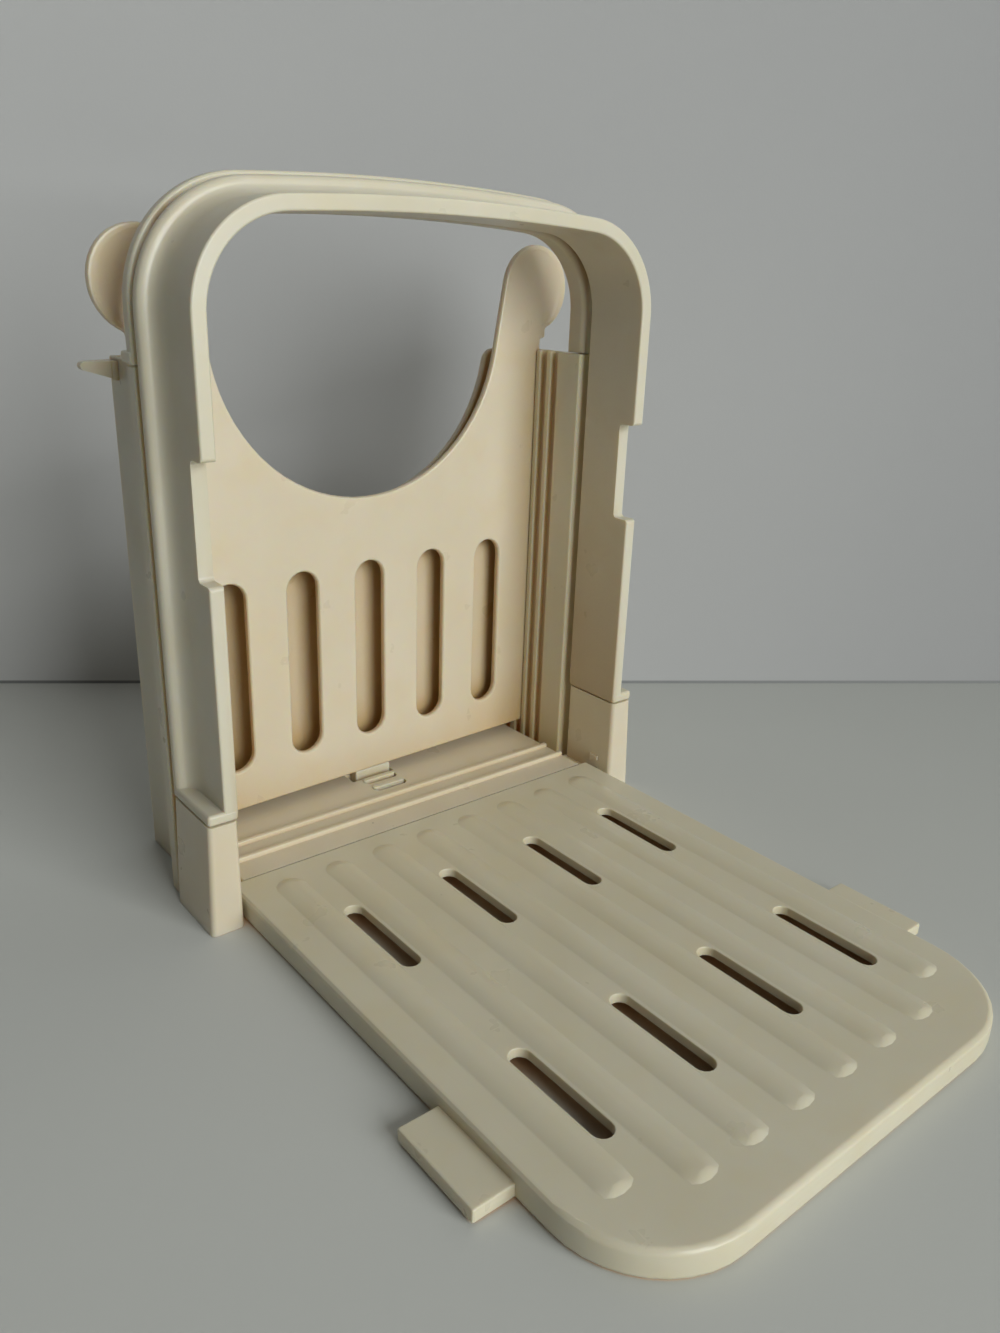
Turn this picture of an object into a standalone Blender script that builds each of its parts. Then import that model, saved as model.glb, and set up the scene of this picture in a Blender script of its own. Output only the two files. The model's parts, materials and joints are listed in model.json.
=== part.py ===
"""Bread slicing guide: a knock-down guide tower with a fold-out crumb tray.

Everything is in metres, +Z up. X runs across the guide, -Y is the side that the tray
folds out to. Pieces are modelled about the front face of the posts (Y = 0) and hang on
one empty, which brings the origin to the bottom centre of the whole guide.
"""
import bpy
import bmesh
from math import acos, atan2, cos, degrees, radians, sin, sqrt
from mathutils import Matrix, Vector

MM = 0.001

# Fits
CLEARANCE = 0.3 * MM
SHEET_PLAY = 0.2 * MM
HINGE_SIDE_GAP = 1.0 * MM
TRAY_SEAM_GAP = 0.3 * MM
WELD_DISTANCE = 0.002 * MM
RIM_LIFT = 0.03 * MM

# Posts and floor of the base
POST_SETBACK = 0.3 * MM
POST_WIDTH = 9.2 * MM
POST_DEPTH = 21.9 * MM
POST_HEIGHT = 31.0 * MM
POST_DRAFT_OUTER = 1.3 * MM
POST_DRAFT_FRONT = 0.5 * MM
POST_EDGE_RADIUS = 1.5 * MM
FLOOR_HEIGHT = 7.2 * MM
FLOOR_WALL = 2.4 * MM
FLOOR_SEAM_Y = 9.8 * MM
RAISED_FLOOR_MARGIN = 3.0 * MM
RAISED_FLOOR_EDGE_RADIUS = 0.7 * MM
SKIRT_HEIGHT = 4.6 * MM
RIDGE_HEIGHT = 1.3 * MM
RIDGE_WIDTH = 1.7 * MM
RIDGE_EDGE_RADIUS = 0.5 * MM
FRONT_RIDGE_Y = 18.3 * MM
REAR_RIDGE_Y = 26.3 * MM
UNDERSIDE_RIB = 1.6 * MM
DETENT_HEIGHT = 0.5 * MM
DETENT_Y = 7.6 * MM
DETENT_Z = 8.2 * MM
DETENT_WIDTH = 3.4 * MM
DETENT_LENGTH = 4.4 * MM

# Knife slit between the two arches
SLIT_WIDTH = 2.7 * MM

# Arches
ARCH_HALF_OPENING = 66.0 * MM
ARCH_ABOVE_RAIL = 35.2 * MM
ARCH_CORNER_RADIUS = 21.7 * MM
ARCH_CROWN_RADIUS = 655.0 * MM
ARCH_FRONT_Y = 0.6 * MM
FLANGE_WIDTH = 3.75 * MM
SHOULDER_WIDTH = 8.1 * MM
COVE_RADIUS = 3.2 * MM
SHOULDER_DEPTH = 3.2 * MM
ARCH_EDGE_RADIUS = 0.6 * MM
SHOULDER_EDGE_RADIUS = 1.0 * MM
FOOT_PLATE_HEIGHT = 3.0 * MM
FOOT_EDGE_RADIUS = 0.9 * MM
TONGUE_WIDTH = 4.2 * MM
TONGUE_LENGTH = 12.0 * MM
TONGUE_DEPTH = 8.0 * MM
REAR_ARCH_DEPTH = 7.0 * MM
REAR_ARCH_RISE = 1.1 * MM
REAR_ARCH_EDGE_RADIUS = 1.0 * MM
REAR_FOOT_HEIGHT = 2.6 * MM
REAR_FOOT_FLARE = 0.8 * MM
REAR_FOOT_EDGE_RADIUS = 0.5 * MM

# Side walls
RAIL_HEIGHT = 139.6 * MM
WALL_REAR_Y = 55.8 * MM
WALL_THICKNESS = 3.4 * MM
GROOVE_DEPTH = 2.2 * MM
COLUMN_DEPTH = 4.2 * MM
COLUMN_OUTER_DRAFT = 0.2 * MM
LAND_SETBACK = 1.0 * MM
FIRST_GROOVE_Y = 35.0 * MM
GROOVE_PITCH = 5.1 * MM
GROOVE_COUNT = 3
PANEL_GROOVE_Y = 51.0 * MM
WALL_EDGE_RADIUS = 0.35 * MM
LIP_LENGTH = 5.6 * MM
LIP_TIP_LENGTH = 2.6 * MM
LIP_REACH = 8.1 * MM
LIP_ROOT = 4.7 * MM
LIP_TIP = 2.2 * MM
LIP_STEP = 0.9 * MM
LIP_DROP = 0.3 * MM
LIP_NUB_RADIUS = 1.2 * MM
ARCH_PEG_THICKNESS = 1.8 * MM
ARCH_PEG_WIDTH = 5.6 * MM
ARCH_PEG_DEPTH = 8.0 * MM
WALL_TENON_LENGTH = 8.0 * MM
WALL_TENON_HEIGHT = 2.2 * MM
WALL_TENON_REACH = 4.2 * MM
WALL_TENON_ROOT = 0.6 * MM
WALL_TENON_Z = 1.4 * MM
WALL_TENON_CENTRES = (33.0 * MM, 45.0 * MM)

# Back panel and stop plate
SHEET_THICKNESS = 2.5 * MM
PANEL_ARM_WIDTH = 17.4 * MM
PANEL_CUT_ABOVE_RAIL = 5.4 * MM
PANEL_CORNER_RADIUS = 4.0 * MM
PANEL_EDGE_RADIUS = 0.5 * MM
PANEL_TENON_LENGTH = 20.0 * MM
PANEL_TENON_SPACING = 80.0 * MM
PANEL_TENON_DEPTH = 4.0 * MM
PLATE_BOTTOM = 9.9 * MM
PLATE_LEFT_GROOVE = 2
PLATE_RIGHT_GROOVE = 3
PLATE_EDGE_RADIUS = 0.9 * MM
PLATE_ARM_WIDTH = 18.3 * MM
PLATE_CUT_ABOVE_RAIL = 8.0 * MM
EAR_INSET = 2.6 * MM
EAR_ABOVE_RAIL = 18.3 * MM
EAR_RADIUS = 12.85 * MM
EAR_RIM = 1.2 * MM
EAR_DISH_DEPTH = 0.9 * MM
EAR_DISH_LIFT = 0.06 * MM
EAR_DISH_OFFSET = 0.9 * MM
EAR_DISH_BULGE = 1.9 * MM
EAR_DISH_LEAN = 14.0
EAR_DISH_SPAN = (15.0, 165.0)
EAR_DISH_ROWS = 12
EAR_DISH_COLUMNS = 6
STUB_HEIGHT = 3.0 * MM
STUB_REACH = 2.0 * MM
PLATE_SLOT_COUNT = 5
PLATE_SLOT_PITCH = 23.4 * MM
PLATE_SLOT_WIDTH = 10.4 * MM
PLATE_SLOT_BOTTOM = 22.3 * MM
PLATE_SLOT_TOP = 79.5 * MM

# Tray
TRAY_FRONT_Y = -143.5 * MM
TRAY_HEIGHT = 7.2 * MM
TRAY_WALL = 2.4 * MM
TRAY_CORNER_RADIUS = 25.0 * MM
TRAY_EDGE_RADIUS = 1.5 * MM
PIVOT_Y = 6.0 * MM
PIVOT_Z = 3.85 * MM
BARREL_RADIUS = 3.7 * MM
PIN_RADIUS = 2.0 * MM
PIN_REACH = 3.0 * MM
TRAY_RIB_COUNT = 8
TRAY_RIB_PITCH = 15.1 * MM
TRAY_RIB_WIDTH = 9.4 * MM
TRAY_RIB_HEIGHT = 0.6 * MM
TRAY_RIB_SINK = 0.1 * MM
TRAY_RIB_REAR_Y = 4.2 * MM
TRAY_RIB_FRONT_Y = -132.6 * MM
OUTER_RIB_FRONT_Y = -125.1 * MM
TRAY_SLOT_WIDTH = 5.2 * MM
TRAY_SLOT_EDGE_RADIUS = 0.4 * MM
TRAY_SLOT_ROWS = ((-17.4 * MM, -47.7 * MM), (-84.0 * MM, -113.8 * MM))
TAB_REAR_Y = -84.4 * MM
TAB_FRONT_Y = -109.1 * MM
TAB_TOP = 4.0 * MM
TAB_BOTTOM = 0.5 * MM
TAB_SIDE_STEP = 0.2 * MM
TAB_EDGE_RADIUS = 0.6 * MM
NOTCH_CLEARANCE = 1.9 * MM
NOTCH_CORNER_RADIUS = 1.2 * MM

# Latch under the floor
LATCH_WIDTH = 17.0 * MM
LATCH_LENGTH = 20.0 * MM
LATCH_THICKNESS = 1.8 * MM
LATCH_FRONT_Y = 31.0 * MM
LATCH_TRAVEL = 1.4 * MM
LATCH_RIB_LENGTH = 11.6 * MM
LATCH_RIB_DEPTH = 2.0 * MM
LATCH_RIB_Y = (33.9 * MM, 39.6 * MM)
LATCH_RIB_RISE = 0.5 * MM
LATCH_TAB_WIDTH = 13.0 * MM
LATCH_TAB_DEPTH = 3.6 * MM
LATCH_TAB_Y = 43.8 * MM
LATCH_TAB_EDGE_RADIUS = 0.5 * MM
LATCH_SLOT_SIDE = 2.2 * MM
LATCH_CENTRE_X = 1.0 * MM
RAIL_GUIDE_WIDTH = 1.6 * MM
RAIL_GUIDE_LEDGE = 1.4 * MM

# Colours
IVORY = (0.66, 0.62, 0.50, 1.0)
IVORY_WARM = (0.68, 0.62, 0.47, 1.0)
IVORY_COOL = (0.62, 0.59, 0.48, 1.0)

# Worked out from the sizes above
POST_INNER_X = ARCH_HALF_OPENING + POST_SETBACK
HALF_WIDTH = POST_INNER_X + POST_WIDTH
ARCH_INNER_TOP = RAIL_HEIGHT + ARCH_ABOVE_RAIL
ARCH_REAR_Y = POST_DEPTH
COLUMN_FRONT_Y = ARCH_REAR_Y + SLIT_WIDTH
LAND_X = ARCH_HALF_OPENING - LAND_SETBACK
GROOVE_X = LAND_X + GROOVE_DEPTH
WALL_OUTER_X = LAND_X + WALL_THICKNESS
SHOULDER_X = ARCH_HALF_OPENING + SHOULDER_WIDTH
GROOVE_WIDTH = SHEET_THICKNESS + 2 * SHEET_PLAY
PLATE_HALF_WIDTH = GROOVE_X - CLEARANCE
FLOOR_HALF_WIDTH = LAND_X - CLEARANCE
RAISED_FLOOR_HALF_WIDTH = LAND_X - RAISED_FLOOR_MARGIN
PANEL_CUT_RADIUS = PLATE_HALF_WIDTH - PANEL_ARM_WIDTH
PANEL_CUT_Z = RAIL_HEIGHT + PANEL_CUT_ABOVE_RAIL
PLATE_CUT_RADIUS = PLATE_HALF_WIDTH - PLATE_ARM_WIDTH
PLATE_CUT_Z = RAIL_HEIGHT + PLATE_CUT_ABOVE_RAIL
EAR_X = PLATE_HALF_WIDTH - EAR_INSET
EAR_Z = RAIL_HEIGHT + EAR_ABOVE_RAIL
TRAY_HALF_WIDTH = POST_INNER_X - HINGE_SIDE_GAP
TRAY_REAR_Y = FLOOR_SEAM_Y - TRAY_SEAM_GAP
SEAM_RADIUS = sqrt((FLOOR_SEAM_Y - PIVOT_Y) ** 2 + (FLOOR_HEIGHT - PIVOT_Z) ** 2)
NOTCH_DEPTH_Y = PIVOT_Y + TAB_TOP - PIVOT_Z + CLEARANCE
NOTCH_BOTTOM = PIVOT_Z + PIVOT_Y - TAB_REAR_Y - NOTCH_CLEARANCE
NOTCH_TOP = PIVOT_Z + PIVOT_Y - TAB_FRONT_Y + NOTCH_CLEARANCE
SHIFT_Y = -(TRAY_FRONT_Y + WALL_REAR_Y) / 2

# A flat outline (a, b) and its depth become (x, y, z) along each axis
FACING = {
    "Z": Matrix.Identity(4),
    "Y": Matrix(((1, 0, 0, 0), (0, 0, -1, 0), (0, 1, 0, 0), (0, 0, 0, 1))),
    "X": Matrix(((0, 0, 1, 0), (1, 0, 0, 0), (0, 1, 0, 0), (0, 0, 0, 1))),
}


def clear_scene():
    for item in list(bpy.data.objects):
        bpy.data.objects.remove(item, do_unlink=True)


def new_collection(name):
    collection = bpy.data.collections.new(name)
    bpy.context.scene.collection.children.link(collection)
    return collection


def plastic(name, colour):
    material = bpy.data.materials.new(name)
    material.use_nodes = True
    shader = material.node_tree.nodes["Principled BSDF"]
    shader.inputs["Base Color"].default_value = colour
    shader.inputs["Roughness"].default_value = 0.42
    shader.inputs["Metallic"].default_value = 0.0
    return material


def arc(centre, radius, start, end, steps):
    """Points on an arc, angles in degrees, both ends included."""
    points = []
    for step in range(steps + 1):
        angle = radians(start + (end - start) * step / steps)
        points.append((centre[0] + radius * cos(angle), centre[1] + radius * sin(angle)))
    return points


def rounded_box(low, high, radius, steps=4):
    """A rectangle from corner low to corner high with round corners."""
    centres = ((high[0] - radius, high[1] - radius), (low[0] + radius, high[1] - radius),
               (low[0] + radius, low[1] + radius), (high[0] - radius, low[1] + radius))
    points = []
    for turn, centre in enumerate(centres):
        points += arc(centre, radius, 90 * turn, 90 * turn + 90, steps)
    return points


def pill(low, high, steps=8):
    """A slot outline with full round ends, long along its longer side."""
    width = high[0] - low[0]
    height = high[1] - low[1]
    radius = min(width, height) / 2
    if height > width:
        middle = (low[0] + high[0]) / 2
        points = arc((middle, high[1] - radius), radius, 0, 180, steps)
        points += arc((middle, low[1] + radius), radius, 180, 360, steps)
        return points
    middle = (low[1] + high[1]) / 2
    points = arc((high[0] - radius, middle), radius, -90, 90, steps)
    points += arc((low[0] + radius, middle), radius, 90, 270, steps)
    return points


def box_outline(low, high):
    return [(low[0], low[1]), (high[0], low[1]), (high[0], high[1]), (low[0], high[1])]


def mesh_from_curve(name, curve_data, collection):
    """Turn a curve into a clean closed mesh object."""
    curve = bpy.data.objects.new(name + "_curve", curve_data)
    bpy.context.scene.collection.objects.link(curve)
    bpy.context.view_layer.update()
    depsgraph = bpy.context.evaluated_depsgraph_get()
    mesh = bpy.data.meshes.new_from_object(curve.evaluated_get(depsgraph))
    bpy.data.objects.remove(curve, do_unlink=True)
    mesh.name = name
    shape = bmesh.new()
    shape.from_mesh(mesh)
    bmesh.ops.remove_doubles(shape, verts=shape.verts, dist=WELD_DISTANCE)
    bmesh.ops.dissolve_limit(shape, angle_limit=radians(0.1), verts=shape.verts, edges=shape.edges)
    bmesh.ops.recalc_face_normals(shape, faces=shape.faces)
    shape.to_mesh(mesh)
    shape.free()
    piece = bpy.data.objects.new(name, mesh)
    collection.objects.link(piece)
    return piece


def prism(name, loops, low, high, axis="Z", collection=None):
    """A flat outline, with holes if it has more loops, drawn out from low to high."""
    data = bpy.data.curves.new(name, "CURVE")
    data.dimensions = "2D"
    data.fill_mode = "BOTH"
    data.extrude = (high - low) / 2
    for loop in loops:
        spline = data.splines.new("POLY")
        spline.points.add(len(loop) - 1)
        for point, place in zip(spline.points, loop):
            point.co = (place[0], place[1], 0, 1)
        spline.use_cyclic_u = True
    piece = mesh_from_curve(name, data, collection or helpers)
    offset = Vector((0, 0, 0))
    offset["XYZ".index(axis)] = (low + high) / 2
    piece.data.transform(Matrix.Translation(offset) @ FACING[axis])
    return piece


def helper_mesh(name, shape):
    """A helper object from finished bmesh faces."""
    bmesh.ops.recalc_face_normals(shape, faces=shape.faces)
    mesh = bpy.data.meshes.new(name)
    shape.to_mesh(mesh)
    shape.free()
    helper = bpy.data.objects.new(name, mesh)
    helpers.objects.link(helper)
    return helper


def slot_cutter(name, low, high, levels, axis, steps=8):
    """A cutter for a round-ended slot, from pairs of a level and how far it widens there."""
    shape = bmesh.new()
    rings = []
    for level, growth in levels:
        outline = pill((low[0] - growth, low[1] - growth), (high[0] + growth, high[1] + growth), steps)
        rings.append([shape.verts.new((a, b, level)) for a, b in outline])
    for lower, upper in zip(rings, rings[1:]):
        for index in range(len(lower)):
            shape.faces.new((lower[index - 1], lower[index], upper[index], upper[index - 1]))
    shape.faces.new(rings[0])
    shape.faces.new(rings[-1])
    cutter = helper_mesh(name, shape)
    cutter.data.transform(FACING[axis])
    return cutter


def rim(face, radius, steps=3):
    """Levels and widenings of a slot's rounded rim under an upper face."""
    points = arc((radius, face - radius + RIM_LIFT), radius, 180, 90, steps)
    return [(level, growth) for growth, level in points] + [(face + radius, radius)]


def block(name, low, high, radius=0.0, collection=None):
    """A box between two corners, its edges rounded by a Bevel where radius is set."""
    piece = prism(name, [box_outline(low, high)], low[2], high[2], "Z", collection)
    if radius:
        bevel(piece, radius)
    return piece


def bevel(piece, width, segments=2, angle=40):
    modifier = piece.modifiers.new("Rounding", "BEVEL")
    modifier.width = width
    modifier.segments = segments
    modifier.limit_method = "ANGLE"
    modifier.angle_limit = radians(angle)
    modifier.use_clamp_overlap = False
    return modifier


def crown(piece, half_width, rise, steps=5):
    """Raise the piece's top face in a round crest, whose section is an arc of a circle."""
    radius = (half_width ** 2 + rise ** 2) / (2 * rise)
    step_width = half_width / (steps + 1)
    shape = bmesh.new()
    shape.from_mesh(piece.data)
    top = max(shape.faces, key=lambda face: face.calc_center_median().z)
    height = 0.0
    for step in range(1, steps + 1):
        level = sqrt(radius ** 2 - (half_width - step * step_width) ** 2) - (radius - rise)
        bmesh.ops.inset_region(shape, faces=[top], thickness=step_width, depth=level - height,
                               use_even_offset=True)
        height = level
    shape.to_mesh(piece.data)
    shape.free()


def combine(piece, other, operation):
    """Join another solid to the piece, or cut it away, with an exact Boolean."""
    other.parent = guide
    other.hide_render = True
    other.display_type = "WIRE"
    modifier = piece.modifiers.new(other.name, "BOOLEAN")
    modifier.operation = operation
    modifier.solver = "EXACT"
    modifier.object = other
    return modifier


def join(piece, other):
    return combine(piece, other, "UNION")


def cut(piece, other):
    return combine(piece, other, "DIFFERENCE")


def cylinder(name, radius, low, high, axis, centre, sides=24):
    """A round bar from low to high along the axis, centre given in the other two."""
    return prism(name, [arc(centre, radius, 0, 360 - 360 / sides, sides - 1)], low, high, axis)


def mirrored(piece, name, collection=None):
    """A mirror image of the piece in the plane X = 0, with the same modifiers' helpers."""
    other = bpy.data.objects.new(name, piece.data.copy())
    (collection or helpers).objects.link(other)
    other.data.transform(Matrix.Scale(-1, 4, (1, 0, 0)))
    other.data.flip_normals()
    for source in piece.modifiers:
        if source.type == "BEVEL":
            bevel(other, source.width, source.segments, degrees(source.angle_limit))
        else:
            helper = mirrored(source.object, source.object.name + "_mirror")
            combine(other, helper, source.operation)
    return other


def finish(piece, material, angle=35):
    """Hang a finished node on the guide's empty, coloured and smooth where it is round."""
    piece.data.materials.clear()
    piece.data.materials.append(material)
    piece.data.shade_smooth()
    piece.data.set_sharp_from_angle(angle=radians(angle))
    piece.parent = guide


def arch_outline(half_width, top, corner_radius, crown_radius, foot, steps=12, crown_steps=10):
    """An arch from its right foot over a slightly crowned top to its left foot."""
    corner_x = half_width - corner_radius
    crown_z = top - crown_radius
    reach = crown_radius - corner_radius
    corner_z = crown_z + sqrt(reach ** 2 - corner_x ** 2)
    lean = degrees(atan2(corner_x, corner_z - crown_z))
    points = [(half_width, foot)]
    points += arc((corner_x, corner_z), corner_radius, 0, 90 - lean, steps)
    points += arc((0, crown_z), crown_radius, 90 - lean, 90 + lean, crown_steps)[1:-1]
    points += arc((-corner_x, corner_z), corner_radius, 90 + lean, 180, steps)
    points.append((-half_width, foot))
    return points


def arch_section():
    """The front arch's section: distance out from its opening, and Y."""
    small = ARCH_EDGE_RADIUS
    large = SHOULDER_EDGE_RADIUS
    web = FLANGE_WIDTH
    shoulder_y = ARCH_REAR_Y - SHOULDER_DEPTH
    cove = (web + COVE_RADIUS, shoulder_y - COVE_RADIUS)
    points = arc((small, ARCH_FRONT_Y + small), small, 180, 270, 2)
    points += arc((web - small, ARCH_FRONT_Y + small), small, 270, 360, 2)
    points += arc(cove, COVE_RADIUS, 180, 90, 5)
    points += arc((SHOULDER_WIDTH - large, shoulder_y + large), large, 270, 360, 3)
    points += arc((SHOULDER_WIDTH - small, ARCH_REAR_Y - small), small, 0, 90, 2)
    points += arc((small, ARCH_REAR_Y - small), small, 90, 180, 2)
    return points


def swept_arch(name):
    """The arch's section carried along its opening."""
    profile_data = bpy.data.curves.new(name + "_section", "CURVE")
    profile_data.dimensions = "2D"
    section = arch_section()
    spline = profile_data.splines.new("POLY")
    spline.points.add(len(section) - 1)
    for point, place in zip(spline.points, section):
        point.co = (place[0], -place[1], 0, 1)
    spline.use_cyclic_u = True
    profile = bpy.data.objects.new(name + "_section", profile_data)
    profile.hide_render = True
    profile.display_type = "WIRE"
    helpers.objects.link(profile)

    path_data = bpy.data.curves.new(name, "CURVE")
    path_data.dimensions = "2D"
    path_data.fill_mode = "NONE"
    path_data.bevel_mode = "OBJECT"
    path_data.bevel_object = profile
    path_data.use_fill_caps = True
    route = arch_outline(ARCH_HALF_OPENING, ARCH_INNER_TOP, ARCH_CORNER_RADIUS,
                         ARCH_CROWN_RADIUS, POST_HEIGHT + CLEARANCE + FOOT_PLATE_HEIGHT / 2)
    spline = path_data.splines.new("POLY")
    spline.points.add(len(route) - 1)
    for point, place in zip(spline.points, route):
        point.co = (place[0], place[1], 0, 1)
    piece = mesh_from_curve(name, path_data, parts)
    piece.data.transform(FACING["Y"])
    return piece


def tapered_post(name):
    """The right post, drafted on its outer and front faces."""
    low = (POST_INNER_X, 0.0)
    high = (HALF_WIDTH, POST_DEPTH)
    piece = prism(name, [rounded_box(low, high, POST_EDGE_RADIUS)], 0.0, POST_HEIGHT)
    for vertex in piece.data.vertices:
        if vertex.co.z > POST_HEIGHT / 2:
            outward = (vertex.co.x - low[0]) / (high[0] - low[0])
            forward = (high[1] - vertex.co.y) / (high[1] - low[1])
            vertex.co.x -= POST_DRAFT_OUTER * outward
            vertex.co.y += POST_DRAFT_FRONT * forward
    return piece


def tray_corner_outline(inset, rear):
    """The tray's plan outline, drawn in by inset, from its rear edge round the front."""
    half = TRAY_HALF_WIDTH - inset
    front = TRAY_FRONT_Y + inset
    radius = TRAY_CORNER_RADIUS - inset
    points = [(-half, rear)]
    points += arc((-half + radius, front + radius), radius, 180, 270, 10)
    points += arc((half - radius, front + radius), radius, 270, 360, 10)
    points.append((half, rear))
    return points


def slot_centres(count, pitch):
    return [(index - (count - 1) / 2) * pitch for index in range(count)]


def floor_section(half_width):
    """The floor seen from the front: a low skirt with a raised, round-edged middle."""
    radius = RAISED_FLOOR_EDGE_RADIUS
    edge = (RAISED_FLOOR_HALF_WIDTH - radius, FLOOR_HEIGHT - radius)
    right = [(half_width, 0.0), (half_width, SKIRT_HEIGHT), (RAISED_FLOOR_HALF_WIDTH, SKIRT_HEIGHT)]
    right += arc(edge, radius, 0, 90, 3)
    return right + [(-x, z) for x, z in reversed(right)]


def make_base():
    floor_rear = WALL_REAR_Y - CLEARANCE
    base = prism("base", [floor_section(POST_INNER_X + POST_WIDTH / 2)], FLOOR_SEAM_Y, POST_DEPTH,
                 "Y", parts)
    join(base, prism("rear_floor", [floor_section(FLOOR_HALF_WIDTH)], POST_DEPTH - FLOOR_WALL,
                     floor_rear, "Y"))
    right_post = tapered_post("right_post")
    join(base, right_post)
    join(base, mirrored(right_post, "left_post"))

    for name, front in (("front_ridge", FRONT_RIDGE_Y), ("rear_ridge", REAR_RIDGE_Y)):
        half = RAISED_FLOOR_HALF_WIDTH - RAISED_FLOOR_EDGE_RADIUS
        low = FLOOR_HEIGHT - RIDGE_HEIGHT
        outline = [(front, low), (front + RIDGE_WIDTH, low)]
        outline += rounded_box((front, low), (front + RIDGE_WIDTH, FLOOR_HEIGHT + RIDGE_HEIGHT),
                               RIDGE_EDGE_RADIUS, 2)[:6]
        join(base, prism(name, [outline], -half, half, "X"))

    for side in (-1, 1):
        name = "right" if side > 0 else "left"
        face = POST_INNER_X * side
        ends = sorted((face - DETENT_HEIGHT * side, face + DETENT_HEIGHT * side))
        join(base, block(name + "_detent",
                         (ends[0], DETENT_Y - DETENT_WIDTH / 2, DETENT_Z - DETENT_LENGTH / 2),
                         (ends[1], DETENT_Y + DETENT_WIDTH / 2, DETENT_Z + DETENT_LENGTH / 2)))

        socket_x = (POST_INNER_X + HALF_WIDTH - POST_DRAFT_OUTER) / 2 * side
        reach = TONGUE_WIDTH / 2 + CLEARANCE
        middle = (POST_DRAFT_FRONT + POST_DEPTH) / 2
        cut(base, block(name + "_post_socket",
                        (socket_x - reach, middle - TONGUE_LENGTH / 2 - CLEARANCE,
                         POST_HEIGHT - TONGUE_DEPTH - CLEARANCE),
                        (socket_x + reach, middle + TONGUE_LENGTH / 2 + CLEARANCE,
                         POST_HEIGHT + CLEARANCE)))
        ends = sorted((face - HINGE_SIDE_GAP * side,
                       (TRAY_HALF_WIDTH + PIN_REACH + CLEARANCE) * side))
        cut(base, cylinder(name + "_hinge_bore", PIN_RADIUS + CLEARANCE, ends[0], ends[1],
                           "X", (PIVOT_Y, PIVOT_Z)))

    gap_half = POST_INNER_X
    undercut = cylinder("seam_undercut", SEAM_RADIUS, -gap_half, gap_half, "X", (PIVOT_Y, PIVOT_Z), 48)
    cut(base, undercut)

    hollow_front = FLOOR_SEAM_Y + FLOOR_WALL * 2
    hollow_rear = floor_rear - FLOOR_WALL
    hollow_half = FLOOR_HALF_WIDTH - FLOOR_WALL
    latch_half = LATCH_WIDTH / 2 + CLEARANCE + RAIL_GUIDE_WIDTH
    latch_low = LATCH_CENTRE_X - latch_half
    latch_high = LATCH_CENTRE_X + latch_half
    spans = ((-hollow_half, (latch_low - hollow_half) / 2 - UNDERSIDE_RIB / 2),
             ((latch_low - hollow_half) / 2 + UNDERSIDE_RIB / 2, latch_low),
             (latch_high, (latch_high + hollow_half) / 2 - UNDERSIDE_RIB / 2),
             ((latch_high + hollow_half) / 2 + UNDERSIDE_RIB / 2, hollow_half))
    for number, span in enumerate(spans):
        cut(base, block("underside_pocket_%d" % (number + 1), (span[0], hollow_front, -CLEARANCE),
                        (span[1], hollow_rear, FLOOR_HEIGHT - FLOOR_WALL)))
    bay_floor = FLOOR_HEIGHT - FLOOR_WALL
    cut(base, block("latch_bay", (latch_low + RAIL_GUIDE_WIDTH, hollow_front,
                                  bay_floor - LATCH_THICKNESS - 2 * CLEARANCE),
                    (latch_high - RAIL_GUIDE_WIDTH, hollow_rear, bay_floor)))
    cut(base, block("latch_bay_mouth", (latch_low + RAIL_GUIDE_WIDTH + RAIL_GUIDE_LEDGE, hollow_front,
                                        -CLEARANCE),
                    (latch_high - RAIL_GUIDE_WIDTH - RAIL_GUIDE_LEDGE, hollow_rear, bay_floor)))
    for number, y in enumerate(LATCH_RIB_Y):
        cut(base, prism("grip_window_%d" % (number + 1),
                        [pill((LATCH_CENTRE_X - LATCH_RIB_LENGTH / 2 - CLEARANCE,
                               y - LATCH_TRAVEL - CLEARANCE),
                              (LATCH_CENTRE_X + LATCH_RIB_LENGTH / 2 + CLEARANCE,
                               y + LATCH_RIB_DEPTH + CLEARANCE))],
                        bay_floor - CLEARANCE, FLOOR_HEIGHT + CLEARANCE))
    cut(base, block("tab_window",
                    (LATCH_CENTRE_X - LATCH_TAB_WIDTH / 2 - LATCH_SLOT_SIDE,
                     LATCH_TAB_Y - LATCH_TRAVEL - CLEARANCE, bay_floor - CLEARANCE),
                    (LATCH_CENTRE_X + LATCH_TAB_WIDTH / 2 + CLEARANCE,
                     LATCH_TAB_Y + LATCH_TAB_DEPTH + CLEARANCE, FLOOR_HEIGHT + CLEARANCE)))

    for side in (-1, 1):
        name = "right" if side > 0 else "left"
        ends = sorted(((LAND_X - WALL_TENON_REACH - CLEARANCE) * side, HALF_WIDTH * side))
        for number, y in enumerate(WALL_TENON_CENTRES):
            cut(base, block("%s_wall_mortise_%d" % (name, number + 1),
                            (ends[0], y - WALL_TENON_LENGTH / 2 - CLEARANCE, WALL_TENON_Z - CLEARANCE),
                            (ends[1], y + WALL_TENON_LENGTH / 2 + CLEARANCE,
                             WALL_TENON_Z + WALL_TENON_HEIGHT - CLEARANCE)))
        x = PANEL_TENON_SPACING / 2 * side
        cut(base, block(name + "_panel_mortise",
                        (x - PANEL_TENON_LENGTH / 2 - CLEARANCE, PANEL_GROOVE_Y,
                         FLOOR_HEIGHT - PANEL_TENON_DEPTH - CLEARANCE),
                        (x + PANEL_TENON_LENGTH / 2 + CLEARANCE, PANEL_GROOVE_Y + GROOVE_WIDTH,
                         FLOOR_HEIGHT + CLEARANCE)))
    finish(base, plastic("base_plastic", IVORY))
    return base


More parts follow.
